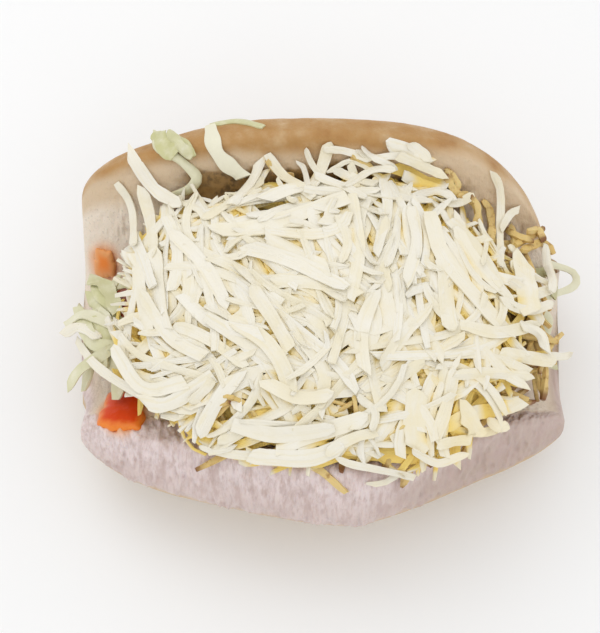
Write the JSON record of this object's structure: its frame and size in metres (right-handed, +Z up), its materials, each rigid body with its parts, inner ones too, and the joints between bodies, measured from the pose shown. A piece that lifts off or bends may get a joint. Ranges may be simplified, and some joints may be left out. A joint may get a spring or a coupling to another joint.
{
  "type": "loaded hot dog",
  "caption": "Side-cut soft bun laid open on its hinge, filled with a sausage, cabbage shreds, straw potatoes and a heap of grated cheese.",
  "frame": {"origin": "middle of the flat spot under the hinge that the bun rests on", "axes": "+X along the bun, +Y towards the taller far half, +Z up"},
  "size_m": [0.1585, 0.1173, 0.0706],
  "materials": {
    "bun": "soft baked bread: golden crust above, pale torn sides",
    "sausage": "moist cooked sausage skin",
    "cabbage": "moist raw shreds, pale green to white",
    "potato": "fried straws with browned ends",
    "cheese": "waxy grated white cheese",
    "sauce": "wet tomato sauce"
  },
  "bodies": {
    "root": {"bun": "bun", "sausage": "sausage", "cabbage_shreds": "cabbage", "potato_straws": "potato", "grated_cheese": "cheese", "ketchup_front": "sauce", "ketchup_back": "sauce"}
  },
  "joints": []
}
